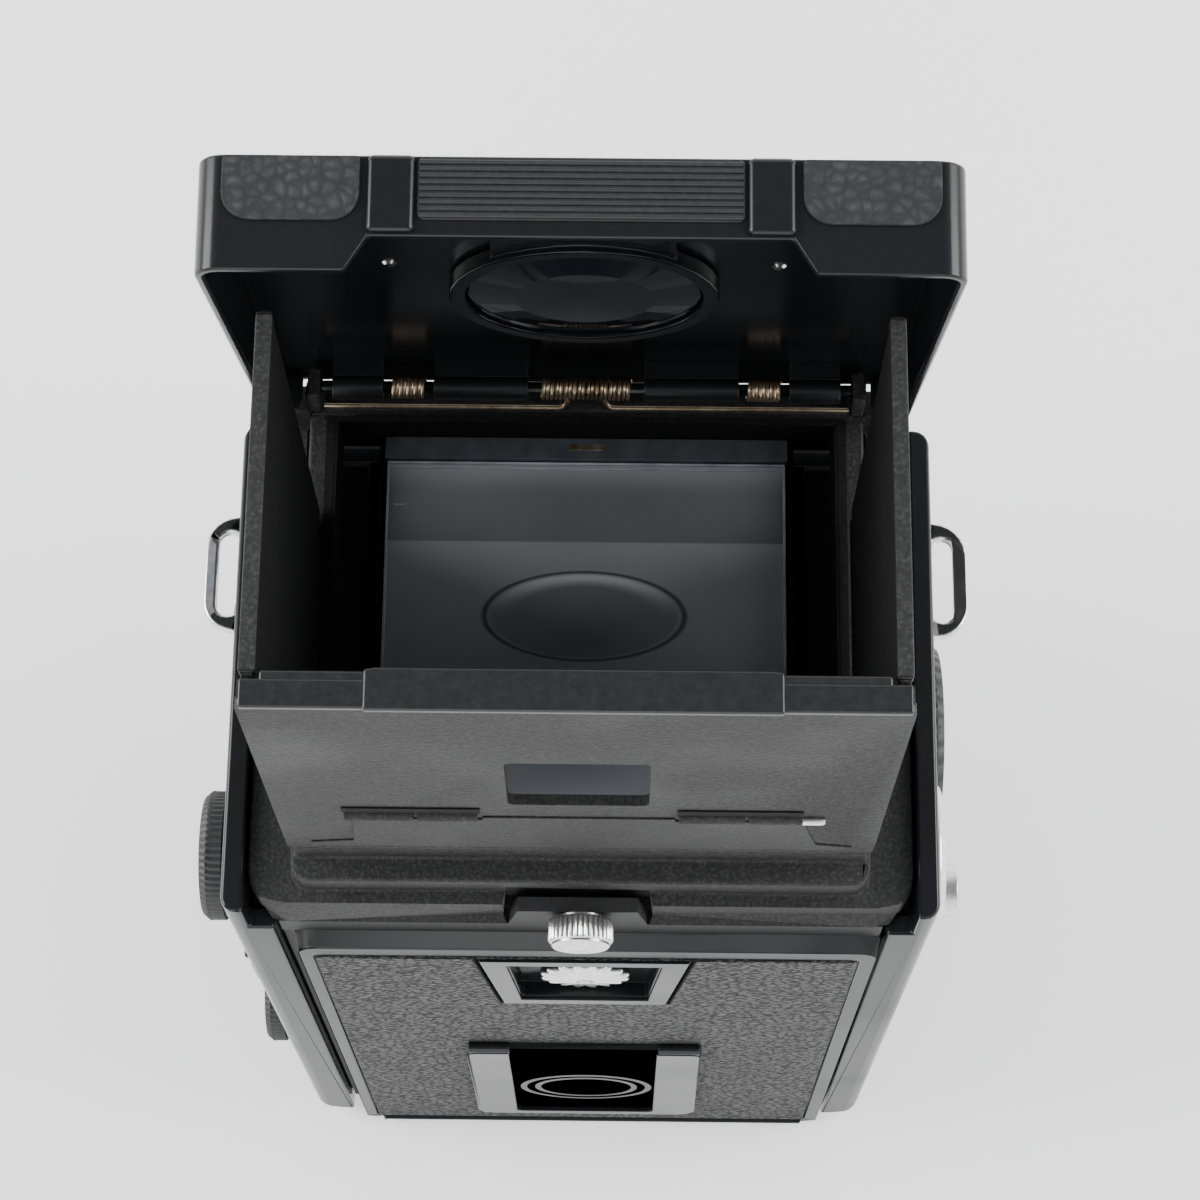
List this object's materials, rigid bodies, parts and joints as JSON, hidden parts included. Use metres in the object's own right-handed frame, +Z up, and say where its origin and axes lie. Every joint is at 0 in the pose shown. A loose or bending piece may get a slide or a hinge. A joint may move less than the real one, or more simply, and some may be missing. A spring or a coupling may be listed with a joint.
{
  "type": "twin lens reflex camera",
  "caption": "Twin lens reflex roll film camera with a bellows front, rear door, winding crank and a folding waist-level hood.",
  "frame": {"origin": "centre of the base's underside, between the side covers and midway between their front and rear edges", "axes": "+Z up through the hood, -Y the way the lenses face, +X towards the focusing side with the spool knobs"},
  "size_m": [0.122, 0.1136, 0.2336],
  "materials": {
    "gloss_black": "gloss black enamel",
    "wrinkle_black": "black wrinkle paint",
    "leather": "black pebbled leatherette",
    "casting": "die-cast alloy, blackened inside",
    "matt_black": "matt black",
    "black_plastic": "black phenolic plastic",
    "chrome": "satin chrome plate",
    "bronze": "phosphor bronze",
    "screen_glass": "ground glass",
    "lens_glass": "polished and coated",
    "mirror": "front-silvered"
  },
  "bodies": {
    "root": {"body_shell": "casting", "left_side_cover": "gloss_black", "right_side_cover": "gloss_black", "front_plate": "gloss_black", "base_plate": "gloss_black", "tripod_socket": "chrome", "strap_lug_left": "chrome", "strap_lug_right": "chrome", "film_gate": "chrome", "mirror": "mirror", "screen_frame": "matt_black", "focusing_screen": "screen_glass", "hood_base": "wrinkle_black", "lid_hinge_rod": "gloss_black", "lid_spring_left": "bronze", "lid_spring_middle": "bronze", "lid_spring_right": "bronze", "bellows": "matt_black"},
    "door": {"back_door": "gloss_black", "door_leather": "leather", "memo_clip": "gloss_black", "rear_disc": "black_plastic", "plate_spring_upper": "bronze", "plate_spring_lower": "bronze"},
    "plate": {"pressure_plate": "matt_black"},
    "dial": {"film_dial": "chrome"},
    "latch": {"back_latch": "gloss_black"},
    "front": {"front_standard": "gloss_black", "lens_board": "gloss_black", "viewing_barrel": "gloss_black", "viewing_glass": "lens_glass", "shutter_housing": "gloss_black", "taking_barrel": "gloss_black", "taking_glass": "lens_glass", "rack_left": "chrome", "rack_right": "chrome"},
    "speeds": {"speed_ring": "chrome"},
    "aperture": {"aperture_lever": "chrome"},
    "cocking": {"cocking_lever": "chrome"},
    "shutter": {"shutter_lever": "chrome"},
    "focus_drive": {"focus_shaft": "chrome", "focus_knob_left": "black_plastic", "focus_knob_right": "black_plastic"},
    "spool": {"take_up_spool": "black_plastic"},
    "crank": {"winding_shaft": "chrome", "crank_disc": "chrome"},
    "handle": {"crank_handle": "chrome"},
    "upper_knob": {"upper_spool_knob": "black_plastic"},
    "lower_knob": {"lower_spool_knob": "black_plastic"},
    "roller_upper": {"film_roller_upper": "chrome"},
    "roller_lower": {"film_roller_lower": "chrome"},
    "release": {"release_button": "chrome"},
    "screw": {"hood_screw": "chrome"},
    "lid": {"lid": "gloss_black", "lid_rib_strip": "black_plastic"},
    "magnifier": {"magnifier_frame": "black_plastic", "magnifier_lens": "lens_glass"},
    "left_wall": {"left_hood_wall": "wrinkle_black"},
    "right_wall": {"right_hood_wall": "wrinkle_black"},
    "rear_wall": {"rear_hood_wall": "wrinkle_black"}
  },
  "joints": [
    {"name": "door_hinge", "type": "hinge", "parent": "root", "child": "door", "pos_m": [0, 0.0356, 0.0021], "axis": [-1, 0, 0], "range_deg": [0, 100]},
    {"name": "plate_float", "type": "slide", "parent": "door", "child": "plate", "axis": [0, 1, 0], "range_m": [0, 0.0008], "stiffness_N_per_m": 300, "springref_m": -0.001},
    {"name": "dial_turn", "type": "hinge", "parent": "door", "child": "dial", "pos_m": [-0.00045, 0.036, 0.115], "axis": [0, 1, 0], "continuous": true},
    {"name": "latch_slide", "type": "slide", "parent": "root", "child": "latch", "axis": [0, 0, -1], "range_m": [0, 0.004]},
    {"name": "focus_turn", "type": "hinge", "parent": "root", "child": "focus_drive", "pos_m": [0, -0.026, 0.03], "axis": [1, 0, 0], "range_deg": [0, 368.4]},
    {"name": "front_slide", "type": "slide", "parent": "root", "child": "front", "axis": [0, -1, 0], "range_m": [0, 0.045], "deforming": ["bellows"]},
    {"name": "speed_turn", "type": "hinge", "parent": "front", "child": "speeds", "pos_m": [0, -0.0575, 0.066], "axis": [0, 1, 0], "range_deg": [0, 240]},
    {"name": "aperture_turn", "type": "hinge", "parent": "front", "child": "aperture", "pos_m": [0, -0.0524, 0.066], "axis": [0, -1, 0], "range_deg": [0, 50]},
    {"name": "cocking_turn", "type": "hinge", "parent": "front", "child": "cocking", "pos_m": [0, -0.05, 0.066], "axis": [0, -1, 0], "range_deg": [0, 40], "stiffness_Nm_per_rad": 0.004, "springref_deg": -17.19},
    {"name": "shutter_turn", "type": "hinge", "parent": "front", "child": "shutter", "pos_m": [0, -0.0478, 0.066], "axis": [0, -1, 0], "range_deg": [0, 15], "stiffness_Nm_per_rad": 0.004, "springref_deg": -17.19},
    {"name": "crank_turn", "type": "hinge", "parent": "root", "child": "crank", "pos_m": [-0.05, 0.017, 0.1115], "axis": [1, 0, 0], "continuous": true},
    {"name": "spool_turn", "type": "hinge", "parent": "root", "child": "spool", "pos_m": [0, 0.017, 0.1115], "axis": [1, 0, 0], "continuous": true},
    {"name": "handle_fold", "type": "hinge", "parent": "crank", "child": "handle", "pos_m": [-0.0523, 0.017, 0.1139], "axis": [0, 1, 0], "range_deg": [0, 90]},
    {"name": "upper_knob_pull", "type": "slide", "parent": "root", "child": "upper_knob", "axis": [1, 0, 0], "range_m": [0, 0.006], "stiffness_N_per_m": 120, "springref_m": -0.001},
    {"name": "lower_knob_pull", "type": "slide", "parent": "root", "child": "lower_knob", "axis": [1, 0, 0], "range_m": [0, 0.006], "stiffness_N_per_m": 120, "springref_m": -0.001},
    {"name": "roller_upper_turn", "type": "hinge", "parent": "root", "child": "roller_upper", "pos_m": [0, 0.0252, 0.0989], "axis": [1, 0, 0], "continuous": true},
    {"name": "roller_lower_turn", "type": "hinge", "parent": "root", "child": "roller_lower", "pos_m": [0, 0.0252, 0.0326], "axis": [1, 0, 0], "continuous": true},
    {"name": "release_press", "type": "slide", "parent": "root", "child": "release", "axis": [0, 1, 0], "range_m": [0, 0.003], "stiffness_N_per_m": 250, "springref_m": -0.001},
    {"name": "screw_turn", "type": "hinge", "parent": "root", "child": "screw", "pos_m": [-0.0001, 0.036, 0.148], "axis": [0, 1, 0], "continuous": true},
    {"name": "lid_hinge", "type": "hinge", "parent": "root", "child": "lid", "pos_m": [0, -0.0374, 0.16], "axis": [-1, 0, 0], "range_deg": [0, 84.8], "stiffness_Nm_per_rad": 0.03, "springref_deg": -57.3, "deforming": ["left_hood_wall", "right_hood_wall", "rear_hood_wall"]},
    {"name": "magnifier_swing", "type": "hinge", "parent": "lid", "child": "magnifier", "pos_m": [0, -0.03442, 0.21596], "axis": [-1, 0, 0], "range_deg": [-88, 0]},
    {"name": "left_wall_fold", "type": "hinge", "parent": "root", "child": "left_wall", "pos_m": [0.0372, 0, 0.1562], "axis": [0, -1, 0], "range_deg": [0, 90]},
    {"name": "right_wall_fold", "type": "hinge", "parent": "root", "child": "right_wall", "pos_m": [-0.0372, 0, 0.1582], "axis": [0, 1, 0], "range_deg": [0, 90]},
    {"name": "rear_wall_fold", "type": "hinge", "parent": "root", "child": "rear_wall", "pos_m": [0, 0.0272, 0.16], "axis": [1, 0, 0], "range_deg": [0, 90]}
  ],
  "couplings": [
    {"joint": "focus_turn", "follows": "front_slide", "rad_per_m": 142.86},
    {"joint": "spool_turn", "follows": "crank_turn", "ratio": 1},
    {"joint": "left_wall_fold", "follows": "lid_hinge", "ratio": 1.0613},
    {"joint": "right_wall_fold", "follows": "lid_hinge", "ratio": 1.0613},
    {"joint": "rear_wall_fold", "follows": "lid_hinge", "ratio": 1.0613}
  ]
}
